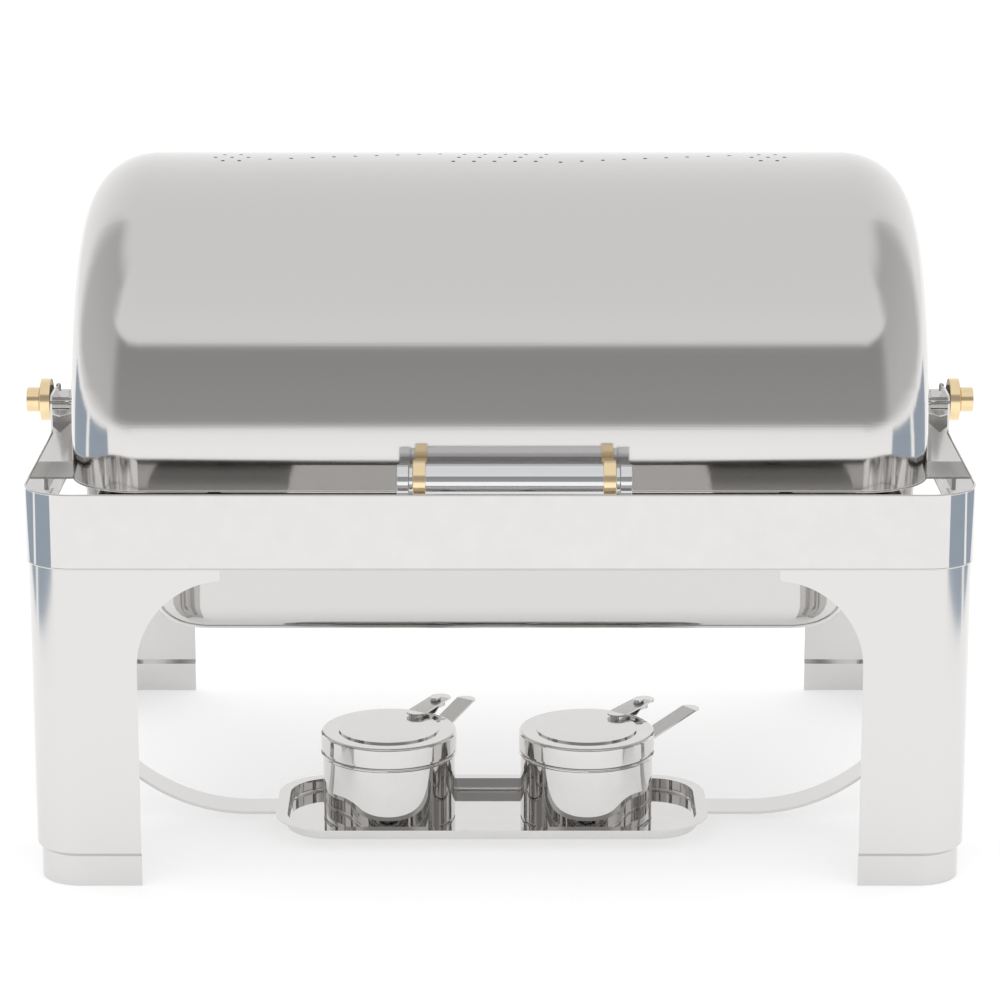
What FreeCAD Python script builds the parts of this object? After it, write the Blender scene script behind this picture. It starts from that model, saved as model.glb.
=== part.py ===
import FreeCAD, Part
# Roll top chafer: a full-size buffet food warmer. A stainless band on four corner legs carries
# a water pan with a food pan in it, under a half-round cover that rolls open on two side pivots.
# A strap slung between the sides carries a tray with two fuel holders.
#
# Frame: millimetres, +X to the right, +Y to the rear, +Z up. The origin is on the ground,
# under the centre of the band. The handle is on the front, the -Y side.
import math
import os
import re
import Sketcher
from FreeCAD import Placement, Rotation, Vector

doc = FreeCAD.newDocument("roll_top_chafer")
sheet = doc.addObject("Spreadsheet::Sheet", "sizes")

SIZES = (
    # the frame: a band on four pressed corner legs
    ("frame_length", 660, "outside length of the band"),
    ("frame_width", 472, "outside width of the band"),
    ("rim_height", 285, "top edge of the band above the ground"),
    ("band_height", 53, "height of the band"),
    ("frame_wall", 1.5, "sheet thickness of band and legs"),
    ("corner_radius", 35, "outside radius of the band's corners"),
    ("leg_face", 78, "width of each face of a leg, from the band's outside"),
    ("wing_reach", 137, "reach of a leg's top wing from the band's outside"),
    ("wing_radius", 64, "radius of the curve from the leg's face to its wing"),
    ("wing_drop", 8, "lowest point of a wing's tip below the band"),
    ("wing_tip", 2.5, "nose radius of a wing's tip"),
    ("leg_lap", 18, "length of leg welded behind the band"),
    ("foot_height", 25, "height of the set-in foot"),
    ("foot_step", 3, "how far the foot is set in"),
    # the ears that carry the pivots
    ("pivot_rise", 14, "pivot axis above the rim"),
    ("ear_half", 48, "half width of an ear at the rim"),
    ("ear_rise", 27, "top of an ear's front horn above the rim"),
    ("ear_corner", 6, "corner radius of the front horn"),
    ("boss_radius", 8, "outside radius of a pivot boss"),
    ("shaft_radius", 5, "radius of a pivot shaft"),
    ("running_gap", 0.05, "radial clearance of a turning fit"),
    ("boss_proud", 3.6, "boss standing out of the ear's outside"),
    ("screw_radius", 1.8, "radius of the friction screw"),
    ("screw_proud", 5, "friction screw standing above its boss"),
    ("pin_radius", 1.75, "radius of the stop pin through the shaft"),
    ("pin_reach", 13, "end of the stop pin from the pivot axis"),
    ("tab_thickness", 4, "thickness of a stop tab"),
    ("tab_gap", 12, "inner edge of a stop tab past the cover's end"),
    ("tab_foot", 24, "lowest point of a stop tab below the pivot axis"),
    ("tab_shoulder", 12, "upper end of a stop tab's root below the pivot axis"),
    ("pin_gap", 14, "middle of a stop pin past the cover's end"),
    ("boss_gap", 17, "inner face of a boss past the cover's end"),
    ("ear_root", 13.25, "depth of an ear's root below the rim"),
    # the roll cover
    ("cover_radius", 184, "outside radius of the cover about its pivot"),
    ("cover_half", 304, "half length of the cover"),
    ("cover_fillet", 51, "outside radius between the cover's barrel and ends"),
    ("cover_wall", 0.9, "sheet thickness of the cover"),
    ("cover_drop", 12, "lower edge of the cover below the rim"),
    ("end_plate_radius", 28, "radius of the stiffening plates inside the ends"),
    ("end_plate_wall", 1.5, "thickness of the stiffening plates"),
    ("nut_flats", 17, "width across flats of a lock nut"),
    ("nut_height", 6, "height of a lock nut"),
    ("shaft_tail", 3, "shaft showing past its lock nut"),
    ("vent_radius", 1.5, "radius of a vent hole"),
    ("vent_shift", -10, "centre line of the vent pattern from the crown"),
    ("vent_ring", 12, "radius of a ring of vents, and the pitch of the middle rows"),
    ("vent_end", 196, "middle of a ring of vents from the cover's centre"),
    ("vent_start", 44, "first vent of a slanting line from the cover's centre"),
    ("vent_pitch", 15.5, "pitch along the cover of a slanting line's vents"),
    ("vent_slope", 0.164, "rise of a slanting line for each unit along the cover"),
    ("vent_fall", 21.5, "a slanting line's fall at the cover's centre"),
    ("row_pitch", 15, "pitch of the vents in a middle row"),
    ("row_skew", 4, "shift of one middle row from the next"),
    # the knobs outside the ears
    ("washer_radius", 11, "radius of the fibre washers"),
    ("washer_wall", 0.9, "thickness of the fibre washers"),
    ("knob_flange_radius", 15.8, "radius of a knob's flange"),
    ("knob_flange", 7.5, "thickness of a knob's flange"),
    ("knob_barrel_radius", 9.2, "radius of a knob's barrel"),
    ("knob_barrel", 10.5, "length of a knob's barrel"),
    ("knob_cover", 3.5, "thickness of the knob past the end of its shaft"),
    # the handle
    ("handle_shift", 10, "centre of the handle to the right of the cover's centre"),
    ("handle_standoff", 32, "handle axis in front of the cover's barrel"),
    ("handle_rise", 6, "handle axis above the rim"),
    ("handle_half", 81, "half length of the handle over its caps"),
    ("tube_radius", 11.5, "outside radius of the handle's tube"),
    ("tube_wall", 1.2, "wall of the handle's tube"),
    ("bracket_half", 65.5, "half distance between the handle's brackets"),
    ("bracket_width", 8.8, "width of a bracket"),
    ("bracket_radius", 14, "outside radius of a bracket's ring"),
    ("bracket_arm", 10, "height of a bracket's arm"),
    ("cap_radius", 10.8, "radius of the end caps"),
    ("cap_length", 8.2, "length of the end caps"),
    ("neck_radius", 9.4, "radius of the neck behind an end cap"),
    ("plug_length", 9, "length of the cap's plug inside the tube"),
    ("handle_screw_radius", 2.5, "radius of the handle screws"),
    ("handle_screw_length", 14, "length of the handle screws past the cover"),
    ("handle_head_radius", 4.5, "radius of the handle screws' heads"),
    ("handle_head", 3, "height of the handle screws' heads"),
    # the ledge that holds the water pan
    ("ledge_drop", 22, "top of the ledge below the rim"),
    ("ledge_wall", 1.5, "sheet thickness of the ledge"),
    ("ledge_margin", 2, "ledge outside the water pan's flange"),
    ("ledge_gap", 2.5, "gap between the ledge's opening and the water pan"),
    ("ledge_lip", 10, "depth of the ledge's welding lips"),
    ("front_tab_in", 150, "inner end of a front tab from the centre"),
    ("front_tab_out", 250, "outer end of a front tab from the centre"),
    ("side_tab_near", 48, "rear edge of a side tab in front of the pivot"),
    ("side_tab_far", 95, "front edge of a side tab in front of the pivot"),
    ("bumper_radius", 5, "radius of the cover's bumpers"),
    ("bumper_place", 200, "distance of the bumpers from the centre"),
    ("rest_gap", 0.3, "gap left where one piece rests over another"),
    # the pans
    ("pan_wall", 0.8, "sheet thickness of the pans"),
    ("sweep_gap", 3.2, "gap between the ledge's long edges and the turning cover"),
    ("end_gap", 21, "water pan's flange inside the cover's ends"),
    ("water_flange_corner", 30, "corner radius of the water pan's flange"),
    ("water_flange_end", 31, "width of the water pan's flange at the ends"),
    ("water_flange_side", 24, "width of the water pan's flange at the sides"),
    ("water_corner", 45, "corner radius of the water pan's body"),
    ("belly_gap", 45, "height of the water pan's bottom over the turning cover"),
    ("water_straight", 52, "upright part of the water pan's long sides"),
    ("water_bottom_radius", 20, "radius round the water pan's bottom"),
    ("food_inset_end", 18, "food pan's flange inside the water pan's, at the ends"),
    ("food_inset_side", 11.5, "food pan's flange inside the water pan's, at the sides"),
    ("food_flange_corner", 20, "corner radius of the food pan's flange"),
    ("food_gap_end", 2.5, "food pan's body inside the water pan's, at the ends"),
    ("food_gap_side", 3, "food pan's body inside the water pan's, at the sides"),
    ("food_corner", 42, "corner radius of the food pan's body"),
    ("food_depth", 65, "depth of the food pan"),
    ("food_bottom_radius", 20, "radius round the food pan's bottom"),
    # the strap and the tray
    ("tray_lead", 5, "middle of the tray ahead of the ends of the front legs' side wings"),
    ("strap_lead", 17, "middle of the strap behind the ends of those wings"),
    ("strap_width", 29, "width of the strap"),
    ("strap_wall", 2, "thickness of the strap"),
    ("strap_bottom", 6, "underside of the strap above the ground"),
    ("strap_radius", 130, "inside radius of the strap's bends"),
    ("strap_side", 318, "outside of the strap where a bend ends"),
    ("strap_lap", 16, "length of the strap's upright ends"),
    ("strap_drop", 2, "top of the strap below the top of the legs' lap"),
    ("stud_radius", 1.5, "radius of the strap's studs"),
    ("stud_length", 7, "length of the strap's studs"),
    ("stud_pitch", 8, "height between the strap's studs"),
    ("stud_nut_flats", 5.5, "width across flats of the stud nuts"),
    ("stud_nut_height", 2.4, "height of the stud nuts"),
    ("tray_half_length", 158, "half length of the tray over its flange"),
    ("tray_side", 14.5, "tray's flange past the pots, to front and rear"),
    ("tray_shift", -6, "centre of the tray to the right of the frame's centre"),
    ("tray_flange", 7.6, "width of the tray's flange"),
    ("tray_corner", 40, "corner radius of the tray's flange"),
    ("tray_depth", 10, "depth of the tray"),
    ("tray_wall", 0.8, "sheet thickness of the tray"),
    ("tray_bottom_radius", 3, "radius round the tray's bottom"),
    # the fuel holders
    ("holder_left", -75.5, "left holder from the tray's centre"),
    ("holder_right", 69.5, "right holder from the tray's centre"),
    ("pot_radius", 48.5, "outside radius of a pot"),
    ("pot_height", 65, "height of a pot"),
    ("pot_wall", 0.8, "sheet thickness of pots and lids"),
    ("bead_height", 49.5, "middle of the bead round a pot"),
    ("bead_radius", 1.5, "radius of the bead round a pot"),
    ("lid_gap", 0.5, "gap between a pot and its lid's skirt"),
    ("lid_skirt", 13, "height of a lid's skirt"),
    ("lid_edge", 2, "outside radius round a lid's top"),
    ("flame_radius", 27, "radius of the hole in a lid"),
    ("strip_wall", 1.2, "thickness of the strips"),
    ("strip_half", 7.5, "half width of the strips"),
    ("tip_radius", 7.4, "corner radius of the strips' ends"),
    ("damper_radius", 37, "radius of a damper disc"),
    ("damper_arm", 9.5, "damper's pivot past the pot's wall"),
    ("damper_tail", 14, "end of a damper's handle past its pivot"),
    ("damper_lap", 10, "end of a damper's handle inside the edge of its disc"),
    ("damper_rise", 3, "underside of a damper's handle above the lid, at its inner end"),
    ("damper_slope", 0.1, "rise of a damper's handle for each unit along it"),
    ("damper_post", 3.5, "radius of the post between a disc and its handle"),
    ("hinge_start", 18, "inner end of a hinge strip inside the pivot"),
    ("hinge_foot", 7, "length of a hinge strip welded on its lid"),
    ("hinge_bend", 5, "length of a hinge strip's slanting step"),
    ("hinge_tail", 7, "end of a hinge strip past the pivot"),
    ("hinge_rise", 3.4, "step up of a hinge strip"),
    ("rivet_radius", 2.5, "radius of the rivets"),
    ("rivet_head", 4, "radius of the rivet heads"),
    ("rivet_head_height", 1.4, "height of the rivet heads"),
    ("pot_handle_low", 31, "lower end of a pot handle's foot"),
    ("pot_handle_bend", 46, "height of a pot handle's bend"),
    ("pot_handle_length", 55.5, "end of a pot handle past the pot's wall"),
    ("pot_handle_top", 64, "height of a pot handle's end"),
    ("lid_turn_left", 55, "direction of the left lid's hinge, in degrees from +X"),
    ("lid_turn_right", 47, "direction of the right lid's hinge, in degrees from +X"),
    ("pot_turn_left", 55, "direction of the left pot's handle, in degrees from +X"),
    ("pot_turn_right", 36, "direction of the right pot's handle, in degrees from +X"),
)

# Places that follow from the sizes. Each is an expression of the sheet's names.
PLACES = {
    "half_length": "frame_length / 2",
    "half_width": "frame_width / 2",
    "band_bottom": "rim_height - band_height",
    "pivot_height": "rim_height + pivot_rise",
    "wall_x": "half_length - frame_wall",
    "wall_y": "half_width - frame_wall",
    "leg_top": "band_bottom + leg_lap",
    "wing_low": "band_bottom - wing_drop",
    "wing_centre": "wing_low - wing_radius",
    "cover_edge": "rim_height - cover_drop",
    "cover_inside": "cover_half - cover_wall",
    "boss_in": "cover_half + boss_gap",
    "boss_out": "half_length + boss_proud",
    "knob_in": "boss_out + washer_wall",
    "knob_step": "knob_in + knob_flange",
    "knob_out": "knob_step + knob_barrel",
    "handle_height": "rim_height + handle_rise",
    "handle_reach": "cover_radius + handle_standoff",
    "ledge_top": "rim_height - ledge_drop",
    "ledge_low": "ledge_top - ledge_wall",
    "ledge_half_length": "water_flange_half_length + ledge_margin",
    "ledge_half_width": "sqrt((cover_radius - cover_wall) ^ 2"
    " - (pivot_height - ledge_low) ^ 2) - sweep_gap",
    "water_flange_half_length": "cover_half - end_gap",
    "water_flange_half_width": "ledge_half_width - ledge_margin",
    "water_half_length": "water_flange_half_length - water_flange_end",
    "water_half_width": "water_flange_half_width - water_flange_side",
    "food_flange_half_length": "water_flange_half_length - food_inset_end",
    "food_flange_half_width": "water_flange_half_width - food_inset_side",
    "food_half_length": "water_half_length - food_gap_end",
    "food_half_width": "water_half_width - food_gap_side",
    "water_top": "ledge_top + pan_wall",
    "water_bottom": "pivot_height - cover_radius + belly_gap",
    "slope_top": "ledge_top - water_straight",
    "food_top": "water_top + pan_wall",
    "food_bottom": "food_top - food_depth",
    "strap_top": "strap_bottom + strap_wall",
    "strap_inside": "strap_side - strap_wall",
    "strap_flat": "strap_inside - strap_radius",
    "strap_bend_top": "strap_top + strap_radius",
    "strap_wall_x": "wall_x",
    "strap_end_top": "leg_top - strap_drop",
    "strap_end_low": "strap_end_top - strap_lap",
    "tray_y": "0 - half_width + wing_reach - tray_lead",
    "strap_y": "0 - half_width + wing_reach + strap_lead",
    "tray_top": "strap_top + tray_depth",
    "tray_half_width": "pot_radius + tray_side",
    "tray_body_half_length": "tray_half_length - tray_flange",
    "tray_body_half_width": "tray_half_width - tray_flange",
    "holder_base": "strap_top + tray_wall",
    "holder_left_x": "tray_shift + holder_left",
    "holder_right_x": "tray_shift + holder_right",
    "lid_low": "pot_height + rest_gap",
    "lid_top": "lid_low + pot_wall",
    "lid_inside": "pot_radius + lid_gap",
    "lid_outside": "lid_inside + pot_wall",
    "skirt_low": "lid_top - lid_skirt",
    "disc_top": "lid_top + strip_wall",
    "damper_pivot": "pot_radius + damper_arm",
    "damper_reach": "damper_pivot + damper_tail",
    "pot_handle_reach": "pot_radius + pot_handle_length",
    "hinge_low": "lid_top + hinge_rise",
    "hinge_high": "hinge_low + strip_wall",
    "lever_start": "damper_radius - damper_lap",
    "lever_low": "lid_top + damper_rise",
    "lever_end": "lever_low + damper_slope * (damper_reach - lever_start)",
    "lever_tip": "lever_low + damper_slope * (damper_pivot + rivet_head - lever_start)"
    " + strip_wall + rest_gap",
}


def fill_sheet():
    for row, (alias, number, meaning) in enumerate(SIZES, 1):
        sheet.set(f"A{row}", meaning)
        sheet.set(f"B{row}", str(number))
        sheet.setAlias(f"B{row}", alias)
    doc.recompute()


ALIASES = {alias for alias, number, meaning in SIZES}


def formula(text):
    """The expression with each size pointed at the sheet and each place written out."""
    def one(match):
        word = match.group(0)
        if word in ALIASES:
            return "sizes." + word
        if word in PLACES:
            return "(" + formula(PLACES[word]) + ")"
        return word
    return re.sub(r"[a-z][a-z_]*", one, str(text))


def size(text):
    """The number that an expression has now."""
    return float(sheet.evalExpression(formula(text)))


def bind(obj, prop, text):
    obj.setExpression(prop, formula(text))


def move(obj, x="0", y="0", z="0", rotation=None, turn=None):
    """Places an object at three expressions, turned once, or about Z by an expression."""
    if rotation is not None:
        obj.Placement = Placement(Vector(), rotation)
    if turn is not None:
        obj.Placement = Placement(Vector(), Rotation(Vector(0, 0, 1), 1))
        bind(obj, "Placement.Rotation.Angle", turn)
    for axis, text in zip("xyz", (x, y, z)):
        bind(obj, "Placement.Base." + axis, text)
    return obj


# ---------------------------------------------------------------- primitives and booleans

ALONG = {
    "x": Rotation(Vector(0, 1, 0), 90),
    "y": Rotation(Vector(1, 0, 0), -90),
    "z": Rotation(),
}


def box(name, x, y, z, length, width, height):
    """A block from its lowest corner."""
    obj = doc.addObject("Part::Box", name)
    for prop, text in zip(("Length", "Width", "Height"), (length, width, height)):
        bind(obj, prop, text)
    return move(obj, x, y, z)


def rod(name, axis, radius, length, x="0", y="0", z="0"):
    """A cylinder that runs from a point along +X, +Y or +Z."""
    obj = doc.addObject("Part::Cylinder", name)
    bind(obj, "Radius", radius)
    bind(obj, "Height", length)
    return move(obj, x, y, z, ALONG[axis])


def hexagon(name, axis, flats, length, x="0", y="0", z="0"):
    """A hexagonal prism that runs from a point along an axis."""
    obj = doc.addObject("Part::Prism", name)
    obj.Polygon = 6
    bind(obj, "Circumradius", f"({flats}) / sqrt(3)")
    bind(obj, "Height", length)
    return move(obj, x, y, z, ALONG[axis])


def cut(name, base, tool):
    obj = doc.addObject("Part::Cut", name)
    obj.Base, obj.Tool = base, tool
    return obj


def common(name, base, tool):
    obj = doc.addObject("Part::Common", name)
    obj.Base, obj.Tool = base, tool
    return obj


def fuse(name, *shapes):
    obj = doc.addObject("Part::MultiFuse", name)
    obj.Shapes = list(shapes)
    return obj


def group(name, *shapes):
    """Identical fasteners, kept as separate solids."""
    obj = doc.addObject("Part::Compound", name)
    obj.Links = list(shapes)
    return obj


def mirrored(name, source, normal):
    obj = doc.addObject("Part::Mirroring", name)
    obj.Source = source
    obj.Normal = normal
    return obj


# ---------------------------------------------------------------- sketches and bodies

def body(name):
    return doc.addObject("PartDesign::Body", name)


def sketch(owner, name, plane, offset="0"):
    """A sketch on one of its body's origin planes, moved along the plane's normal."""
    obj = owner.newObject("Sketcher::SketchObject", name)
    support = [item for item in owner.Origin.OriginFeatures if item.Role == plane + "_Plane"]
    obj.AttachmentSupport = [(support[0], "")]
    obj.MapMode = "FlatFace"
    bind(obj, "AttachmentOffset.Base.z", offset)
    return obj


def locate(obj, geometry, point, x, y):
    """Ties one point of a sketch to two expressions."""
    for kind, text in (("DistanceX", x), ("DistanceY", y)):
        index = obj.addConstraint(Sketcher.Constraint(kind, geometry, point, size(text)))
        bind(obj, f"Constraints[{index}]", text)


def circle(obj, x, y, radius):
    centre = Vector(size(x), size(y), 0)
    index = obj.addGeometry(Part.Circle(centre, Vector(0, 0, 1), size(radius)))
    locate(obj, index, 3, x, y)
    tie = obj.addConstraint(Sketcher.Constraint("Radius", index, size(radius)))
    bind(obj, f"Constraints[{tie}]", radius)


def arc_between(start, end, radius, side):
    """The arc from start to end, whose centre is left (+1) or right (-1) of the way there."""
    chord = end - start
    half = chord.Length / 2
    left = Vector(-chord.y, chord.x, 0).normalize()
    centre = start + chord / 2 + left * side * math.sqrt(max(radius * radius - half * half, 0))
    first, last = (start, end) if side > 0 else (end, start)
    angles = [math.atan2(p.y - centre.y, p.x - centre.x) for p in (first, last)]
    return Part.ArcOfCircle(Part.Circle(centre, Vector(0, 0, 1), radius), *angles)


def outline(obj, *steps, closed=True):
    """Draws an outline. A step is (x, y) for a line to that point, or (x, y, radius, side)
    for an arc to it. The first step is the start."""
    points = [Vector(size(step[0]), size(step[1]), 0) for step in steps]
    moves = list(zip(range(len(steps)), range(1, len(steps))))
    if closed:
        moves.append((len(steps) - 1, 0))
    ends = []
    for here, there in moves:
        arc = steps[there][2:] if there else ()
        if arc:
            radius, side = arc
            curve = arc_between(points[here], points[there], size(radius), side)
            index = obj.addGeometry(curve)
            tie = obj.addConstraint(Sketcher.Constraint("Radius", index, size(radius)))
            bind(obj, f"Constraints[{tie}]", radius)
            ends.append((index, 1, 2) if side > 0 else (index, 2, 1))
        else:
            index = obj.addGeometry(Part.LineSegment(points[here], points[there]))
            ends.append((index, 1, 2))
    for number, (here, there) in enumerate(moves):
        index, first, last = ends[number]
        locate(obj, index, first, *steps[here][:2])
        if number + 1 < len(moves) or closed:
            following = ends[(number + 1) % len(moves)]
            obj.addConstraint(Sketcher.Constraint("Coincident", index, last, *following[:2]))
        else:
            locate(obj, index, last, *steps[there][:2])


def rounded(obj, half_x, half_y, radius):
    """A rectangle about the origin with rounded corners."""
    in_x, in_y = f"({half_x} - ({radius}))", f"({half_y} - ({radius}))"
    outline(
        obj,
        (f"0 - ({half_x})", f"0 - {in_y}"),
        (f"0 - {in_x}", f"0 - ({half_y})", radius, 1),
        (in_x, f"0 - ({half_y})"),
        (half_x, f"0 - {in_y}", radius, 1),
        (half_x, in_y),
        (in_x, half_y, radius, 1),
        (f"0 - {in_x}", half_y),
        (f"0 - ({half_x})", in_y, radius, 1),
    )


def pad(owner, name, profile, length, kind="One side", back=False):
    obj = owner.newObject("PartDesign::Pad", name)
    obj.Profile = profile
    obj.SideType = kind
    obj.Reversed = back
    bind(obj, "Length", length)
    return obj


def pocket(owner, name, profile, length=None, back=False, both=False):
    """Cuts a profile to a length, or right through the body both ways."""
    before = solid_volume(owner)
    obj = owner.newObject("PartDesign::Pocket", name)
    obj.Profile = profile
    if both:
        obj.SideType = "Symmetric"
        obj.Type = "ThroughAll"
    else:
        obj.Reversed = back
        bind(obj, "Length", length)
    after = solid_volume(owner)
    if not after < before - 1e-6:
        raise RuntimeError(name + " cuts nothing")
    return obj


def solid_volume(owner):
    doc.recompute()
    return owner.Shape.Volume


def turned(owner, name, profile, axis):
    """A full turn of a profile about an axis of its sketch."""
    obj = owner.newObject("PartDesign::Revolution", name)
    obj.Profile = profile
    obj.ReferenceAxis = (profile, [axis])
    obj.Angle = 360
    return obj


def fillet(owner, name, radius, wanted):
    """Rounds the edges of the body whose mid point and length pass the test."""
    doc.recompute()
    base = owner.Tip
    names = [
        f"Edge{number}"
        for number, edge in enumerate(base.Shape.Edges, 1)
        if wanted(edge)
    ]
    if not names:
        raise RuntimeError(name + " finds no edge")
    obj = owner.newObject("PartDesign::Fillet", name)
    obj.Base = (base, names)
    bind(obj, "Radius", radius)
    return obj


def lies_at(axis, text):
    """A test for edges that lie in one plane across an axis."""
    level = size(text)
    index = "xyz".index(axis)

    def test(edge):
        return all(abs(vertex.Point[index] - level) < 1e-4 for vertex in edge.Vertexes)
    return test


# ---------------------------------------------------------------- the frame

def frame_band():
    """The band with an ear on each side. An ear's boss lies in a notch between a tall front
    horn and a low rear shoulder."""
    band = body("frame_band")
    ring = sketch(band, "band_plan", "XY", "band_bottom")
    rounded(ring, "half_length", "half_width", "corner_radius")
    rounded(ring, "wall_x", "wall_y", "corner_radius - frame_wall")
    pad(band, "band_pad", ring, "band_height")
    root = "rim_height - ear_root"
    horn = "rim_height + ear_rise"
    shoulder = "pivot_height + boss_radius / 2"
    for side, offset, back in (("left", "0 - half_length", False), ("right", "half_length", True)):
        ear = sketch(band, "ear_outline_" + side, "YZ", offset)
        outline(
            ear,
            ("0 - ear_half", root),
            ("ear_half", root),
            ("ear_half", "rim_height"),
            ("boss_radius + ear_corner", shoulder),
            ("boss_radius", shoulder),
            ("boss_radius", "pivot_height"),
            ("0", "pivot_height - boss_radius", "boss_radius", -1),
            ("0 - boss_radius", "pivot_height", "boss_radius", -1),
            ("0 - boss_radius", f"{horn} - ear_corner"),
            ("0 - boss_radius - ear_corner", horn, "ear_corner", 1),
            ("ear_corner - ear_half", horn),
            ("0 - ear_half", f"{horn} - ear_corner", "ear_corner", 1),
        )
        pad(band, "ear_pad_" + side, ear, "frame_wall", back=back)
    return band


def wing_cut(leg, name, plane, outside):
    """Cuts a face of the leg away under its wing."""
    edge = f"0 - ({outside} - leg_face)"
    centre = f"0 - ({outside} - leg_face - wing_radius)"
    tip = f"0 - ({outside} - wing_reach)"
    nose = f"{tip} - wing_tip"
    drop = f"sqrt(wing_radius ^ 2 - (({centre}) - ({nose})) ^ 2)"
    clear = f"{tip} + wing_tip"
    shape = sketch(leg, name + "_outline", plane)
    outline(
        shape,
        (edge, "0 - wing_tip"),
        (clear, "0 - wing_tip"),
        (clear, f"wing_centre + {drop} + wing_tip"),
        (tip, f"wing_centre + {drop} + wing_tip"),
        (nose, f"wing_centre + {drop}", "wing_tip", -1),
        (edge, "wing_centre", "wing_radius", 1),
    )
    pocket(leg, name, shape, both=True)


def leg_front_left():
    """A leg is one sheet bent round the corner: a stepped strip swept along the band's
    inside, then cut to a face with a wing on each side."""
    leg = body("leg_front_left")
    path = sketch(leg, "leg_path", "XY")
    bend = "(corner_radius - frame_wall)"
    reach = "half_width - wing_reach"
    outline(
        path,
        ("0 - (half_length - wing_reach)", "0 - wall_y"),
        (f"{bend} - wall_x", "0 - wall_y"),
        ("0 - wall_x", f"{bend} - wall_y", bend, -1),
        ("0 - wall_x", f"0 - ({reach})"),
        closed=False,
    )
    strip = sketch(leg, "leg_section", "YZ", "wing_reach - half_length")
    step_low, step_high = "foot_height - foot_step", "foot_height"
    outline(
        strip,
        ("0 - wall_y", "leg_top"),
        ("0 - wall_y", step_high),
        ("foot_step - wall_y", step_low),
        ("foot_step - wall_y", "0"),
        ("foot_step + frame_wall - wall_y", "0"),
        ("foot_step + frame_wall - wall_y", f"{step_low} + frame_wall / 2"),
        ("frame_wall - wall_y", f"{step_high} + frame_wall / 2"),
        ("frame_wall - wall_y", "leg_top"),
    )
    sweep = leg.newObject("PartDesign::AdditivePipe", "leg_sweep")
    sweep.Profile = strip
    sweep.Spine = (path, [])
    wing_cut(leg, "front_wing_cut", "XZ", "half_length")
    wing_cut(leg, "side_wing_cut", "YZ", "half_width")
    return leg


def legs():
    first = leg_front_left()
    right = mirrored("leg_front_right", first, Vector(1, 0, 0))
    return [
        first,
        right,
        mirrored("leg_rear_left", first, Vector(0, 1, 0)),
        mirrored("leg_rear_right", right, Vector(0, 1, 0)),
    ]


def pan_ledge():
    """A flat ring under the water pan's flange. Tabs join it to the band at the front and at
    the sides ahead of the pivot, so the cover can pass down behind it."""
    ring = body("ledge_ring")
    plan = sketch(ring, "ledge_plan", "XY", "ledge_low")
    corner = "water_flange_corner + ledge_margin"
    rounded(plan, "ledge_half_length", "ledge_half_width", corner)
    hole = [f"water_half_{way} + ledge_gap" for way in ("length", "width")]
    rounded(plan, *hole, "water_corner + ledge_gap")
    pad(ring, "ledge_pad", plan, "ledge_wall")
    overlap = "2 * ledge_margin"
    depth = f"wall_y - ledge_half_width + {overlap}"
    pieces = [ring]
    for side, start in (("left", "0 - front_tab_out"), ("right", "front_tab_in")):
        width = "front_tab_out - front_tab_in"
        tab = box("front_tab_" + side, start, "0 - wall_y", "ledge_low", width, depth, "ledge_wall")
        low = "ledge_top - ledge_lip"
        lip = box("front_lip_" + side, start, "0 - wall_y", low, width, "ledge_wall", "ledge_lip")
        pieces += [tab, lip]
    reach = f"wall_x - ledge_half_length + {overlap}"
    for side, start, edge in (
        ("left", "0 - wall_x", "0 - wall_x"),
        ("right", f"wall_x - ({reach})", "wall_x - ledge_wall"),
    ):
        near = "0 - side_tab_far"
        width = "side_tab_far - side_tab_near"
        low = "ledge_top - ledge_lip"
        tab = box("side_tab_" + side, start, near, "ledge_low", reach, width, "ledge_wall")
        lip = box("side_lip_" + side, edge, near, low, "ledge_wall", width, "ledge_lip")
        pieces += [tab, lip]
    return fuse("pan_ledge", *pieces)


def bumpers():
    """Rubber buttons on the front tabs, under the closed cover's edge."""
    height = "cover_edge - rest_gap - ledge_top"
    along = "(cover_wall / 2 - sqrt(cover_radius ^ 2 - (pivot_height - cover_edge) ^ 2))"
    buttons = [
        rod("bumper_" + side, "z", "bumper_radius", height, place, along, "ledge_top")
        for side, place in (("left", "0 - bumper_place"), ("right", "bumper_place"))
    ]
    return group("cover_bumpers", *buttons)


# ---------------------------------------------------------------- the pivots

def along_side(name, side, axis_radius, start, end):
    """A cylinder on the pivot axis between two distances from the centre."""
    length = f"({end}) - ({start})"
    first = start if side > 0 else f"0 - ({end})"
    return rod(name, "x", axis_radius, length, first, "0", "pivot_height")


def pivot_boss(word, side):
    outside = along_side("boss_blank_" + word, side, "boss_radius", "boss_in", "boss_out")
    bore = along_side(
        "boss_bore_" + word, side, "shaft_radius + running_gap", "boss_in - 1", "boss_out + 1")
    return cut("pivot_boss_" + word, outside, bore)


def friction_screw(word, side):
    """A screw in the top of the boss, over the ear's sheet, that pinches the shaft."""
    place = "half_length - frame_wall / 2" if side > 0 else "frame_wall / 2 - half_length"
    seat = "pivot_height + sqrt(boss_radius ^ 2 - screw_radius ^ 2)"
    height = "screw_proud - screw_radius"
    shank = rod("screw_shank_" + word, "z", "screw_radius", height, place, "0", seat)
    head = doc.addObject("Part::Sphere", "screw_head_" + word)
    bind(head, "Radius", "screw_radius")
    move(head, place, "0", f"{seat} + {height}")
    blank = fuse("screw_blank_" + word, shank, head)
    keep = along_side("screw_seat_" + word, side, "boss_radius", "boss_in", "boss_out")
    return cut("friction_screw_" + word, blank, keep)


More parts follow.
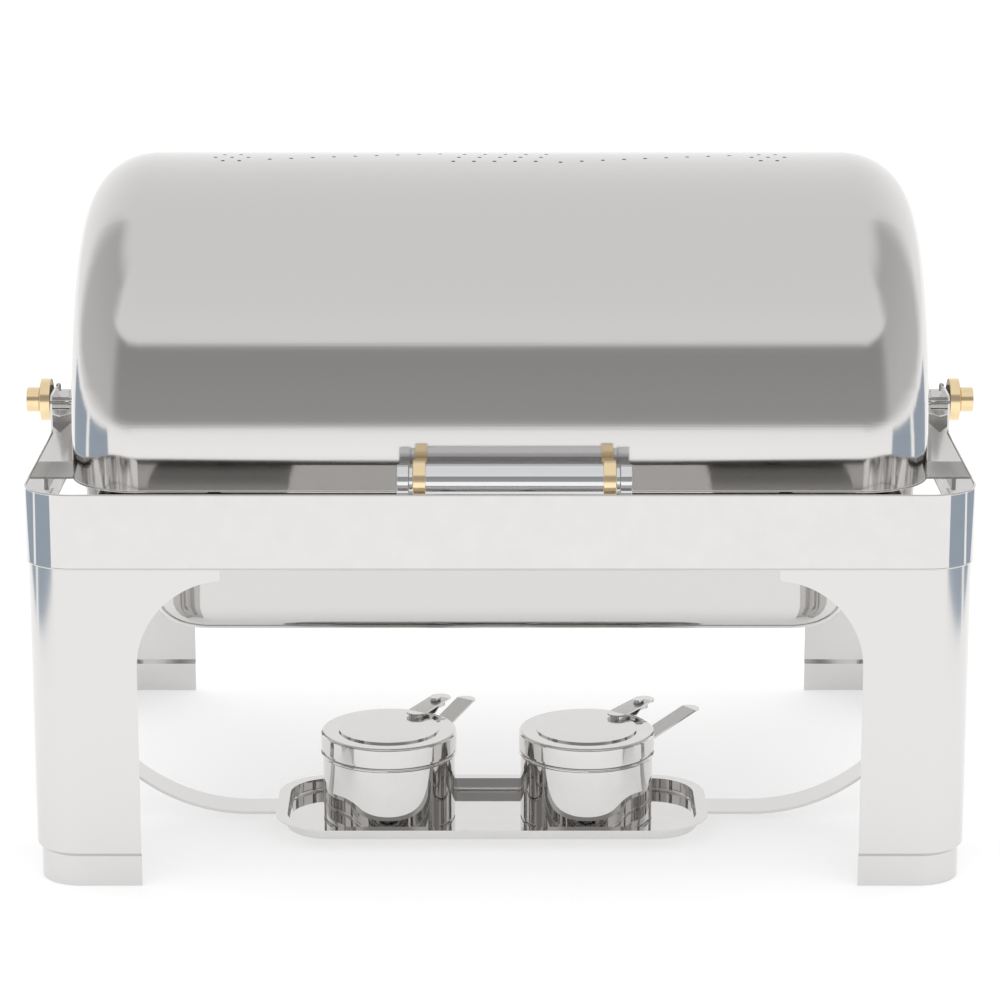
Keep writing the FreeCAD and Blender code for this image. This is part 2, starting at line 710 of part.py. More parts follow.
def stop_tab(word, side):
    """A bent-up tab on the ear's inside that the stop pin meets with the cover open."""
    tab = body("stop_tab_" + word)
    near = "(0 - pin_radius - rest_gap)"
    profile = sketch(tab, "tab_outline_" + word, "XZ", f"0 - {near}")
    sign = "" if side > 0 else "0 - "
    inner = f"{sign}(cover_half + tab_gap)"
    outer = f"{sign}wall_x"
    outline(
        profile,
        (inner, "pivot_height - boss_radius - rest_gap"),
        (inner, "pivot_height - pin_reach"),
        (outer, "pivot_height - tab_foot"),
        (outer, "pivot_height - tab_shoulder"),
    )
    pad(tab, "tab_pad_" + word, profile, "tab_thickness")
    return tab


def pivot_shaft(word, side):
    """The shaft from inside the cover, through the boss and into the knob."""
    start = "cover_inside - end_plate_wall - nut_height - shaft_tail"
    end = "knob_out - knob_cover"
    return along_side("pivot_shaft_" + word, side, "shaft_radius", start, end)


def stop_pin(word, side):
    """A pin in the shaft between cover and boss, pointing to the rear when shut."""
    place = f"{'' if side > 0 else '0 - '}(cover_half + pin_gap)"
    blank = rod("pin_blank_" + word, "y", "pin_radius", "pin_reach", place, "0", "pivot_height")
    core = along_side("pin_core_" + word, side, "shaft_radius", "cover_half", "boss_in")
    return cut("stop_pin_" + word, blank, core)


def washer(word, side):
    blank = along_side("washer_blank_" + word, side, "washer_radius", "boss_out", "knob_in")
    hole = along_side("washer_hole_" + word, side, "shaft_radius", "boss_out - 1", "knob_in + 1")
    return cut("pivot_washer_" + word, blank, hole)


def knob(word, side):
    flange = along_side("flange_" + word, side, "knob_flange_radius", "knob_in", "knob_step")
    barrel = along_side("barrel_" + word, side, "knob_barrel_radius", "knob_in", "knob_out")
    bore = along_side(
        "knob_bore_" + word, side, "shaft_radius", "knob_in - 1", "knob_out - knob_cover")
    return cut("knob_" + word, fuse("knob_blank_" + word, flange, barrel), bore)


def end_plate(word, side):
    start = "cover_inside - end_plate_wall"
    blank = along_side("plate_blank_" + word, side, "end_plate_radius", start, "cover_inside")
    hole = along_side(
        "plate_hole_" + word, side, "shaft_radius", f"{start} - 1", "cover_inside + 1")
    return cut("end_plate_" + word, blank, hole)


def lock_nut(word, side):
    end = "cover_inside - end_plate_wall"
    start = f"{end} - nut_height"
    first = start if side > 0 else f"0 - ({end})"
    blank = hexagon("nut_blank_" + word, "x", "nut_flats", "nut_height", first, "0", "pivot_height")
    hole = along_side("nut_hole_" + word, side, "shaft_radius", f"{start} - 1", f"{end} + 1")
    return cut("lock_nut_" + word, blank, hole)


# ---------------------------------------------------------------- the cover

def roll_cover():
    """A thin half barrel with rounded ends, turned about the pivot axis and cut off level
    below the rim. Vent holes lie along its crown."""
    cover = body("roll_cover")
    move(cover, z="pivot_height")
    profile = sketch(cover, "cover_profile", "XY")
    inner_radius = "cover_radius - cover_wall"
    inner_fillet = "cover_fillet - cover_wall"
    turn = "(cover_half - cover_fillet)"
    low = "(cover_radius - cover_fillet)"
    outline(
        profile,
        ("0 - cover_inside", "0"),
        ("0 - cover_half", "0"),
        ("0 - cover_half", low),
        (f"0 - {turn}", "cover_radius", "cover_fillet", -1),
        (turn, "cover_radius"),
        ("cover_half", low, "cover_fillet", -1),
        ("cover_half", "0"),
        ("cover_inside", "0"),
        ("cover_inside", low),
        (turn, inner_radius, inner_fillet, 1),
        (f"0 - {turn}", inner_radius),
        ("0 - cover_inside", low, inner_fillet, 1),
    )
    turned(cover, "cover_turn", profile, "H_Axis")
    drop = "pivot_height - cover_edge"
    below = sketch(cover, "below_edge", "XY", f"0 - ({drop})")
    rounded(below, "cover_half + 1", "cover_radius + 1", "1")
    pocket(cover, "edge_cut", below, "cover_radius")
    holes = sketch(cover, "shaft_holes", "YZ")
    circle(holes, "0", "0", "shaft_radius")
    pocket(cover, "shaft_cut", holes, both=True)
    vents(cover)
    screws = sketch(cover, "screw_holes", "XZ", "cover_radius / 2")
    for sign in ("-", "+"):
        circle(screws, f"handle_shift {sign} bracket_half", "handle_height - pivot_height",
               "handle_screw_radius")
    pocket(cover, "screw_cut", screws, "cover_radius", back=True)
    return cover


def vents(cover):
    """Vent holes in the crown: a ring at each end, three rows in the middle, and a slanting
    line between them on each side."""
    plan = sketch(cover, "vent_plan", "XY", "cover_radius / 2")
    for side in ("-1", "1"):
        circle(plan, f"{side} * vent_end", "vent_shift", "vent_radius")
        for angle in range(0, 360, 60):
            circle(plan, f"{side} * vent_end + vent_ring * cos({angle})",
                   f"vent_shift + vent_ring * sin({angle})", "vent_radius")
        for number in range(9):
            along = f"(vent_start + vent_pitch * {number})"
            circle(plan, f"{side} * {along}",
                   f"vent_shift + {side} * (vent_slope * {along} - vent_fall)", "vent_radius")
    for row in ("-1", "0", "1"):
        for number in ("-2", "-1", "0", "1", "2"):
            circle(plan, f"row_pitch * {number} + row_skew * {row}",
                   f"vent_shift + {row} * vent_ring", "vent_radius")
    pocket(cover, "vent_cut", plan, "cover_radius", back=True)


# ---------------------------------------------------------------- the handle

def across(name, radius, start, end):
    """A cylinder on the handle's axis between two distances from its middle."""
    return rod(name, "x", radius, f"({end}) - ({start})", f"handle_shift + ({start})",
               "0 - handle_reach", "handle_height")


def handle_tube():
    half = "bracket_half + bracket_width / 2"
    outside = across("tube_blank", "tube_radius", f"0 - ({half})", half)
    bore = across("tube_bore", "tube_radius - tube_wall", f"0 - ({half}) - 1", f"{half} + 1")
    return cut("handle_tube", outside, bore)


def handle_cap(word, side):
    """A turned cap with a neck, plugged into the end of the tube."""
    inner = "bracket_half + bracket_width / 2"
    stages = (
        ("plug", "tube_radius - tube_wall", f"{inner} - plug_length", inner),
        ("neck", "neck_radius", inner, "handle_half"),
        ("cap", "cap_radius", "handle_half - cap_length", "handle_half"),
    )
    pieces = []
    for name, radius, start, end in stages:
        if side < 0:
            start, end = f"0 - ({end})", f"0 - ({start})"
        pieces.append(across(f"{name}_{word}", radius, start, end))
    return fuse("handle_cap_" + word, *pieces)


def handle_bracket(word, side):
    """A ring round the tube with an arm that seats on the cover."""
    centre = f"{'0 - ' if side < 0 else ''}bracket_half"
    start, end = f"{centre} - bracket_width / 2", f"{centre} + bracket_width / 2"
    ring = across("bracket_ring_" + word, "bracket_radius", start, end)
    arm = box(
        "bracket_arm_" + word, f"handle_shift + ({start})", "tube_radius - handle_reach",
        "handle_height - bracket_arm / 2", "bracket_width",
        "handle_reach - tube_radius - cover_radius + bracket_arm / 2", "bracket_arm")
    eye = across("bracket_eye_" + word, "tube_radius", f"{start} - 1", f"{end} + 1")
    barrel = along_side("bracket_seat_" + word, 1, "cover_radius", "0 - cover_half", "cover_half")
    blank = cut("bracket_blank_" + word, fuse("bracket_solid_" + word, ring, arm), eye)
    seated = cut("bracket_seated_" + word, blank, barrel)
    hole = rod("bracket_hole_" + word, "y", "handle_screw_radius", "2 * handle_screw_length",
               f"handle_shift + ({centre})", "0 - cover_radius - handle_screw_length",
               "handle_height")
    return cut("handle_bracket_" + word, seated, hole)


def handle_screws():
    """Screws from inside the cover into the brackets' arms."""
    pieces = []
    inner = "0 - sqrt((cover_radius - cover_wall) ^ 2 - (pivot_height - handle_height) ^ 2)"
    for word, centre in (("left", "0 - bracket_half"), ("right", "bracket_half")):
        place = f"handle_shift + ({centre})"
        shank = rod("handle_shank_" + word, "y", "handle_screw_radius",
                    f"cover_radius + handle_screw_length + ({inner}) + handle_head / 2",
                    place, "0 - cover_radius - handle_screw_length", "handle_height")
        head = rod("handle_head_" + word, "y", "handle_head_radius", "handle_head",
                   place, f"{inner} + 2 * rest_gap", "handle_height")
        pieces.append(fuse("handle_screw_" + word, shank, head))
    return group("handle_screws", *pieces)


# ---------------------------------------------------------------- the pans

def block(name, half_x, half_y, corner, low, high, bottom_radius):
    """A rounded block with a rounded bottom, the inside or outside of a pan."""
    tub = body(name)
    plan = sketch(tub, name + "_plan", "XY", low)
    rounded(plan, half_x, half_y, corner)
    pad(tub, name + "_pad", plan, f"({high}) - ({low})")
    fillet(tub, name + "_round", bottom_radius, lies_at("z", low))
    return tub


def plate(name, half_x, half_y, corner, low, wall):
    flat = body(name)
    plan = sketch(flat, name + "_plan", "XY", low)
    rounded(plan, half_x, half_y, corner)
    pad(flat, name + "_pad", plan, wall)
    return flat


def pan(name, flange, outside, corner, low, high, radius, wall, shape_end=lambda part, inset: part):
    """A flanged pan: outside block and flange, less an inside block one wall smaller."""
    half_x, half_y = outside
    outer = block(name + "_outside", half_x, half_y, corner, low, high, radius)
    less = [f"({text}) - {wall}" for text in (half_x, half_y, corner)]
    inner = block(name + "_inside", *less, f"({low}) + {wall}", f"({high}) + {wall}",
                  f"({radius}) - {wall}")
    rim = plate(name + "_flange", *flange, f"({high}) - {wall}", wall)
    outer, inner = shape_end(outer, "0"), shape_end(inner, wall)
    return cut(name, fuse(name + "_blank", outer, rim), inner)


def belly(part, inset):
    """Takes the rear side of the water pan in below its upright part, at 45 degrees, so that
    the open cover passes behind and under the pan. The front side stays upright."""
    name = part.Name + "_belly"
    prism = body(name)
    section = sketch(prism, name + "_section", "YZ")
    slant = f"({inset}) * (sqrt(2) - 1)"
    side = f"water_half_width - ({inset})"
    low = f"water_bottom + ({inset})"
    knee = f"slope_top + {slant}"
    foot = f"({side}) - (({knee}) - ({low}))"
    radius = f"water_bottom_radius - ({inset})"
    run = f"({radius}) * (sqrt(2) - 1)"
    rise = f"({run}) / sqrt(2)"
    front = f"0 - ({side})"
    outline(
        section,
        (front, low),
        (f"({foot}) - ({run})", low),
        (f"({foot}) + {rise}", f"({low}) + {rise}", radius, 1),
        (side, knee),
        (side, "food_top + pan_wall"),
        (front, "food_top + pan_wall"),
    )
    pad(prism, name + "_pad", section, "2 * water_half_length + pan_wall", kind="Symmetric")
    return common(part.Name + "_shaped", part, prism)


def water_pan():
    flange = ("water_flange_half_length", "water_flange_half_width", "water_flange_corner")
    return pan("water_pan", flange, ("water_half_length", "water_half_width"), "water_corner",
               "water_bottom", "water_top", "water_bottom_radius", "pan_wall", belly)


def food_pan():
    flange = ("food_flange_half_length", "food_flange_half_width", "food_flange_corner")
    return pan("food_pan", flange, ("food_half_length", "food_half_width"), "food_corner",
               "food_bottom", "food_top", "food_bottom_radius", "pan_wall")


# ---------------------------------------------------------------- strap and tray

def tray_strap():
    """A flat bar: level under the tray, bent up at both ends, leaning out to the band's sides
    and upright where it is bolted to them."""
    strap = body("tray_strap")
    move(strap, y="strap_y")
    section = sketch(strap, "strap_outline", "XZ")
    outer_radius = "strap_radius + strap_wall"
    outline(
        section,
        ("0 - strap_side", "strap_bend_top"),
        ("0 - strap_flat", "strap_bottom", outer_radius, 1),
        ("strap_flat", "strap_bottom"),
        ("strap_side", "strap_bend_top", outer_radius, 1),
        ("strap_wall_x", "strap_end_low"),
        ("strap_wall_x", "strap_end_top"),
        ("strap_wall_x - strap_wall", "strap_end_top"),
        ("strap_wall_x - strap_wall", "strap_end_low"),
        ("strap_inside", "strap_bend_top"),
        ("strap_flat", "strap_top", "strap_radius", -1),
        ("0 - strap_flat", "strap_top"),
        ("0 - strap_inside", "strap_bend_top", "strap_radius", -1),
        ("strap_wall - strap_wall_x", "strap_end_low"),
        ("strap_wall - strap_wall_x", "strap_end_top"),
        ("0 - strap_wall_x", "strap_end_top"),
        ("0 - strap_wall_x", "strap_end_low"),
    )
    pad(strap, "strap_pad", section, "strap_width", kind="Symmetric")
    holes = sketch(strap, "strap_holes", "YZ")
    for height in stud_heights():
        circle(holes, "0", height, "stud_radius")
    pocket(strap, "strap_hole_cut", holes, both=True)
    return strap


def stud_heights():
    middle = "(strap_end_top - strap_lap / 2)"
    return [f"{middle} - stud_pitch / 2", f"{middle} + stud_pitch / 2"]


def strap_fasteners():
    """Studs welded inside the band and the nuts that hold the strap on them."""
    studs, nuts = [], []
    along = "strap_y"
    for word, sign in (("left", -1), ("right", 1)):
        for number, height in enumerate(stud_heights()):
            name = f"{word}_{number}"
            start = "strap_wall_x - stud_length" if sign > 0 else "0 - strap_wall_x"
            studs.append(rod("stud_" + name, "x", "stud_radius", "stud_length", start, along,
                             height))
            seat = "strap_wall_x - strap_wall"
            first = f"{seat} - stud_nut_height" if sign > 0 else f"0 - ({seat})"
            blank = hexagon("stud_nut_blank_" + name, "x", "stud_nut_flats", "stud_nut_height",
                            first, along, height)
            hole = rod("stud_nut_hole_" + name, "x", "stud_radius", "stud_length", start, along,
                       height)
            nuts.append(cut("stud_nut_" + name, blank, hole))
    return group("strap_studs", *studs), group("strap_nuts", *nuts)


def fuel_tray():
    """A shallow flanged tray resting on the strap."""
    flange = ("tray_half_length", "tray_half_width", "tray_corner")
    outside = ("tray_body_half_length", "tray_body_half_width")
    tray = pan("fuel_tray", flange, outside, "tray_corner - tray_flange", "strap_top", "tray_top",
               "tray_bottom_radius", "tray_wall")
    return move(tray, "tray_shift", "tray_y")


# ---------------------------------------------------------------- fuel holders

def place_holder(obj, word, turn=None):
    return move(obj, f"holder_{word}_x", "tray_y", "holder_base", turn=turn)


def pot(word):
    """A round cup with a bead below its lid."""
    cup = body("pot_" + word)
    profile = sketch(cup, "pot_profile_" + word, "XZ")
    inside = "pot_radius - pot_wall"
    outline(
        profile,
        ("0", "0"),
        ("pot_radius - lid_edge", "0"),
        ("pot_radius", "lid_edge", "lid_edge", 1),
        ("pot_radius", "bead_height - bead_radius"),
        ("pot_radius + bead_radius", "bead_height", "bead_radius", 1),
        ("pot_radius", "bead_height + bead_radius", "bead_radius", 1),
        ("pot_radius", "pot_height"),
        (inside, "pot_height"),
        (inside, "lid_edge"),
        ("pot_radius - lid_edge", "pot_wall", "lid_edge - pot_wall", -1),
        ("0", "pot_wall"),
    )
    turned(cup, "pot_turn_" + word, profile, "V_Axis")
    return place_holder(cup, word)


def lid(word):
    """A shallow cap with a flame hole in the middle."""
    cap = body("lid_" + word)
    profile = sketch(cap, "lid_profile_" + word, "XZ")
    outline(
        profile,
        ("flame_radius", "lid_low"),
        ("lid_outside - lid_edge", "lid_low"),
        ("lid_inside", "lid_top - lid_edge", "lid_edge - pot_wall", -1),
        ("lid_inside", "skirt_low"),
        ("lid_outside", "skirt_low"),
        ("lid_outside", "lid_top - lid_edge"),
        ("lid_outside - lid_edge", "lid_top", "lid_edge", 1),
        ("flame_radius", "lid_top"),
    )
    turned(cap, "lid_turn_" + word, profile, "V_Axis")
    return place_holder(cap, word)


def round_tip(bar, reach, ending="_tip"):
    """Rounds an end of a strip that points along its own +X."""
    end = size(reach)

    def tip(edge):
        middle = edge.CenterOfMass
        return abs(middle.x - end) < 1e-4 and abs(middle.y) > size("strip_half") - 1e-4
    fillet(bar, bar.Name + ending, "tip_radius", tip)


def strip(name, word, levels, hole_radius, inner_tip=False):
    """A bent strip that points along its own +X: levels are (distance, underside height),
    and its thickness is upright. It has a hole at the damper's pivot."""
    bar = body(name)
    profile = sketch(bar, name + "_profile", "XZ")
    over = [(along, f"{height} + strip_wall") for along, height in reversed(levels)]
    outline(profile, *levels, *over)
    pad(bar, name + "_pad", profile, "2 * strip_half", kind="Symmetric")
    round_tip(bar, levels[-1][0])
    if inner_tip:
        round_tip(bar, levels[0][0], "_inner_tip")
    plan = sketch(bar, name + "_hole", "XY")
    circle(plan, "damper_pivot", "0", hole_radius)
    pocket(bar, name + "_hole_cut", plan, both=True)
    return place_holder(bar, word, "lid_turn_" + word)


def hinge_strip(word):
    levels = (
        ("damper_pivot - hinge_start", "lid_top"),
        ("damper_pivot - hinge_start + hinge_foot", "lid_top"),
        ("damper_pivot - hinge_start + hinge_foot + hinge_bend", "hinge_low"),
        ("damper_pivot + hinge_tail", "hinge_low"),
    )
    return strip("hinge_strip_" + word, word, levels, "rivet_radius")


def damper_handle(word):
    """The damper's straight handle, on a post on the disc and the hinge strip's rivet. It
    slopes up outwards, and both its ends are round."""
    flat = "damper_slope * (damper_reach - strip_half - lever_start)"
    levels = (
        ("lever_start", "lever_low"),
        ("lever_start + strip_half", "lever_low"),
        ("damper_reach - strip_half", f"lever_low + {flat}"),
        ("damper_reach", f"lever_low + {flat}"),
    )
    return strip("damper_handle_" + word, word, levels, "rivet_radius + running_gap",
                 inner_tip=True)


def damper_disc(word):
    """A disc with a post near its edge that carries the handle's inner end."""
    disc = body("damper_disc_" + word)
    plan = sketch(disc, "damper_plan_" + word, "XY", "lid_top")
    circle(plan, "0", "0", "damper_radius")
    pad(disc, "damper_pad_" + word, plan, "strip_wall")
    post = sketch(disc, "damper_post_" + word, "XY", "lid_top")
    circle(post, "lever_start + strip_half / 2", "0", "damper_post")
    pad(disc, "damper_post_pad_" + word, post, "damper_rise")
    return place_holder(disc, word, "lid_turn_" + word)


def damper_rivet(word):
    """The rivet that joins the hinge strip and the damper's handle."""
    low, high = "hinge_low", "lever_tip"
    place = ("damper_pivot", "0")
    shank = rod("rivet_shank_" + word, "z", "rivet_radius", f"{high} - {low}", *place, low)
    under = rod("rivet_foot_" + word, "z", "rivet_head", "rivet_head_height", *place,
                f"{low} - rivet_head_height")
    over = rod("rivet_head_" + word, "z", "rivet_head", "rivet_head_height", *place, high)
    rivet = fuse("damper_rivet_" + word, shank, under, over)
    return place_holder(rivet, word, "lid_turn_" + word)


def pot_handle(word):
    """A strip with an upright foot on the pot's wall and an arm that rises outwards."""
    bar = body("pot_handle_" + word)
    profile = sketch(bar, "pot_handle_profile_" + word, "XZ")
    inner, outer = "pot_radius", "pot_radius + strip_wall"
    outline(
        profile,
        (inner, "pot_handle_low"),
        (outer, "pot_handle_low"),
        (outer, "pot_handle_bend"),
        ("pot_handle_reach - strip_half", "pot_handle_top - strip_wall"),
        ("pot_handle_reach", "pot_handle_top - strip_wall"),
        ("pot_handle_reach", "pot_handle_top"),
        ("pot_handle_reach - strip_half", "pot_handle_top"),
        (inner, "pot_handle_bend + strip_wall"),
    )
    pad(bar, "pot_handle_pad_" + word, profile, "2 * strip_half", kind="Symmetric")
    round_tip(bar, "pot_handle_reach")
    return place_holder(bar, word, "pot_turn_" + word)


def pot_rivets(word):
    """Two rivet heads on the foot of a pot's handle."""
    heads = []
    for number, height in enumerate(("pot_handle_low + rivet_head", "pot_handle_bend - rivet_head")):
        heads.append(rod(f"pot_rivet_{word}_{number}", "x", "rivet_radius", "rivet_head_height",
                         "pot_radius + strip_wall", "0", height))
    return place_holder(group("pot_rivets_" + word, *heads), word, "pot_turn_" + word)


# ---------------------------------------------------------------- build, check and write

def build():
    parts = [frame_band(), *legs(), pan_ledge(), bumpers()]
    for word, side in (("left", -1), ("right", 1)):
        for make in (pivot_boss, friction_screw, stop_tab, pivot_shaft, stop_pin, washer, knob,
                     end_plate, lock_nut, handle_cap, handle_bracket):
            parts.append(make(word, side))
        for make in (pot, pot_handle, pot_rivets, lid, hinge_strip, damper_rivet, damper_disc,
                     damper_handle):
            parts.append(make(word))
    parts += [roll_cover(), handle_tube(), handle_screws(), water_pan(), food_pan()]
    parts += [tray_strap(), *strap_fasteners(), fuel_tray()]
    doc.recompute()
    return parts


def check(parts):
    """Stops on any failed object, and on any piece that is empty or not a valid shape."""
    for obj in doc.Objects:
        if {"Invalid", "Error"} & set(obj.State):
            raise RuntimeError(f"{obj.Name} is in state {obj.State}")
    for part in parts:
        if part.Shape.isNull() or not part.Shape.Solids or not part.Shape.isValid():
            raise RuntimeError(part.Label + " has no valid shape")


fill_sheet()
pieces = build()
check(pieces)
os.makedirs("parts", exist_ok=True)
for piece in pieces:
    piece.Shape.exportStep(f"parts/{piece.Label}.step")
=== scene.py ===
"""Roll top chafer: the finished look, made round the CAD frame.

Every piece keeps the frame's axes: metres, +X to the right, +Y to the rear, +Z up, with the
origin on the ground under the middle of the band.
"""
import math

import bpy
import numpy as np
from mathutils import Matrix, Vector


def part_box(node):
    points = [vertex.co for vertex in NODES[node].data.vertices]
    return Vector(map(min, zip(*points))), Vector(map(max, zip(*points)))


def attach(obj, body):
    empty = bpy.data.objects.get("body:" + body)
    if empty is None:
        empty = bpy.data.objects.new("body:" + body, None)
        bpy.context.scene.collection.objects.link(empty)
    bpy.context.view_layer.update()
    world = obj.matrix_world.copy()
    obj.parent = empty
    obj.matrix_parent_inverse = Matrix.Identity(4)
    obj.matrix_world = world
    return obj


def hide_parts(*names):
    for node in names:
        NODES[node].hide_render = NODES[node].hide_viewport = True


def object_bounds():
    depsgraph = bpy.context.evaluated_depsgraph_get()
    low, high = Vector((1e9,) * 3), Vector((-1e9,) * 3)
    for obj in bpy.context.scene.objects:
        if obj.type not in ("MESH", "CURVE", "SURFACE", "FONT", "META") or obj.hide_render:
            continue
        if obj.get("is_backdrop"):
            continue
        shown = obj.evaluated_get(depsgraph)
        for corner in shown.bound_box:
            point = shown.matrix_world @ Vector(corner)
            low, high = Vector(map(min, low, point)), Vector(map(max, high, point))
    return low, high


bl_info = {
    "name": "Roll Top Chafer",
    "version": (1, 0, 0),
    "blender": (4, 5, 0),
    "location": "3D View > Sidebar > Chafer",
    "description": "Builds the finishes, turned pieces and studio of a roll top chafer",
    "category": "Object",
}

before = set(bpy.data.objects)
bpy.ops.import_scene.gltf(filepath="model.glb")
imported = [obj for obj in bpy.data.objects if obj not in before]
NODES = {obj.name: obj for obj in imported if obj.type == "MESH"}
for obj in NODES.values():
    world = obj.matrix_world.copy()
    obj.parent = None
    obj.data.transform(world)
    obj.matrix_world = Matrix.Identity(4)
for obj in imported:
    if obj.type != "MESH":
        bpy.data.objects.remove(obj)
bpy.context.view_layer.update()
SIDES = (("left", -1), ("right", 1))


# ------------------------------------------------------------------ settings

class ChaferFinish(bpy.types.PropertyGroup):
    """Colours and gloss of the metals."""
    steel: bpy.props.FloatVectorProperty(
        name="Steel", description="Colour of the bare stainless steel", subtype="COLOR",
        size=3, min=0, max=1, default=(0.70, 0.69, 0.68))
    chrome: bpy.props.FloatVectorProperty(
        name="Chrome", description="Colour of the plated handle", subtype="COLOR",
        size=3, min=0, max=1, default=(0.77, 0.775, 0.79))
    brass: bpy.props.FloatVectorProperty(
        name="Brass", description="Colour of knobs and brackets", subtype="COLOR",
        size=3, min=0, max=1, default=(1.0, 0.76, 0.47))
    rubber: bpy.props.FloatVectorProperty(
        name="Rubber", description="Colour of the cover's bumpers", subtype="COLOR",
        size=3, min=0, max=1, default=(0.035, 0.035, 0.038))
    fibre: bpy.props.FloatVectorProperty(
        name="Fibre", description="Colour of the pivot washers", subtype="COLOR",
        size=3, min=0, max=1, default=(0.10, 0.09, 0.085))
    satin: bpy.props.FloatProperty(
        name="Satin Roughness", description="Roughness of the satin sheet",
        min=0.02, max=0.6, default=0.10)
    polish: bpy.props.FloatProperty(
        name="Polished Roughness", description="Roughness of the polished sheet",
        min=0.01, max=0.4, default=0.045)


class ChaferStudio(bpy.types.PropertyGroup):
    """Camera, floor and light."""
    floor_colour: bpy.props.FloatVectorProperty(
        name="Floor", description="Colour of the floor", subtype="COLOR",
        size=3, min=0, max=1, default=(0.46, 0.46, 0.46))
    floor_glow: bpy.props.FloatProperty(
        name="Floor Glow", description="How much the floor shines by itself", default=0.56)
    distance: bpy.props.FloatProperty(
        name="Camera Distance", description="Camera in front of the pivots",
        unit="LENGTH", default=2.623)
    height: bpy.props.FloatProperty(
        name="Camera Height", description="Camera above the ground", unit="LENGTH",
        default=0.892)
    pitch: bpy.props.FloatProperty(
        name="Camera Pitch", description="How far the camera looks down", subtype="ANGLE",
        default=math.radians(14.34))
    lens: bpy.props.FloatProperty(
        name="Lens", description="Focal length on a 36 mm sensor", subtype="DISTANCE_CAMERA",
        default=129.6)
    sky: bpy.props.FloatProperty(
        name="Room Light", description="Strength of the soft light all round", default=1.0)
    key: bpy.props.FloatProperty(
        name="Key Light", description="Power of the soft light overhead", unit="POWER",
        default=14.0)


# ------------------------------------------------------------------ shader maths

class Value:
    """A node socket used as a number: an expression on it adds Math nodes."""

    def __init__(self, shader, socket):
        self.shader, self.socket = shader, socket

    def maths(self, operation, *inputs):
        return self.shader.node("ShaderNodeMath", {"operation": operation}, *inputs)

    def __add__(self, other):
        return self.maths("ADD", self, other)

    def __sub__(self, other):
        return self.maths("SUBTRACT", self, other)

    def __rsub__(self, other):
        return self.maths("SUBTRACT", other, self)

    def __mul__(self, other):
        return self.maths("MULTIPLY", self, other)

    def __truediv__(self, other):
        return self.maths("DIVIDE", self, other)

    __radd__ = __add__

    def absolute(self):
        return self.maths("ABSOLUTE", self)

    def root(self):
        return self.maths("SQRT", self)

    def above(self, other):
        return self.maths("MAXIMUM", self, other)

    def ramp(self, start, end, low=0.0, high=1.0):
        """Rises smoothly from low at start to high at end."""
        settings = {"interpolation_type": "SMOOTHSTEP"}
        return self.shader.node("ShaderNodeMapRange", settings, self, start, end, low, high)


class Shader:
    """A node tree under construction."""

    def __init__(self, tree):
        self.tree = tree
        tree.nodes.clear()

    def add(self, kind, settings=None, *inputs, **named):
        """Adds a node: settings first, then values or links of its sockets."""
        node = self.tree.nodes.new(kind)
        for key, value in (settings or {}).items():
            setattr(node, key, value)
        sockets = [s for s in node.inputs if s.enabled and not s.is_unavailable]
        pairs = list(zip(sockets, inputs))
        pairs += [(node.inputs[key.replace("_", " ")], value) for key, value in named.items()]
        for socket, value in pairs:
            if isinstance(value, Value):
                self.tree.links.new(value.socket, socket)
            elif value is not None:
                socket.default_value = value
        return node

    def out(self, node, name=None):
        shown = [s for s in node.outputs if s.enabled and not s.is_unavailable]
        return Value(self, node.outputs[name] if name else shown[0])

    def node(self, kind, settings=None, *inputs, **named):
        return self.out(self.add(kind, settings, *inputs, **named))

    def place(self, stretch=(1, 1, 1)):
        """Object coordinates, stretched on each axis."""
        where = self.out(self.add("ShaderNodeTexCoord"), "Object")
        return self.node("ShaderNodeMapping", None, where, None, None, stretch)

    def noise(self, stretch, detail=3.0, rough=0.55):
        return self.node("ShaderNodeTexNoise", None, Vector=self.place(stretch),
                         Scale=1.0, Detail=detail, Roughness=rough)

    def mix(self, share, first, second):
        """A colour between two colours."""
        settings = {"data_type": "RGBA"}
        return self.node("ShaderNodeMix", settings, share, wide(first), wide(second))

    def bump(self, height, strength, depth):
        return self.node("ShaderNodeBump", None, Strength=strength, Distance=depth, Height=height)


def wide(colour):
    return colour if isinstance(colour, Value) else (*colour, 1.0)


def shade(colour, factor):
    return tuple(min(1.0, c * factor) for c in colour)


def finish(name, paint):
    """A material: paint sets the Principled BSDF's sockets from a Shader."""
    material = bpy.data.materials.new(name)
    material.use_nodes = True
    shader = Shader(material.node_tree)
    surface = shader.add("ShaderNodeBsdfPrincipled")
    end = shader.add("ShaderNodeOutputMaterial")
    material.node_tree.links.new(surface.outputs[0], end.inputs[0])
    for key, value in paint(shader).items():
        socket = surface.inputs[key]
        if isinstance(value, Value):
            material.node_tree.links.new(value.socket, socket)
        else:
            socket.default_value = value
    return material


def grain_along(axis, fine, slow=3.0):
    """The stretch of rolling lines that run along one axis."""
    return tuple(slow if letter == axis else fine for letter in "XYZ")


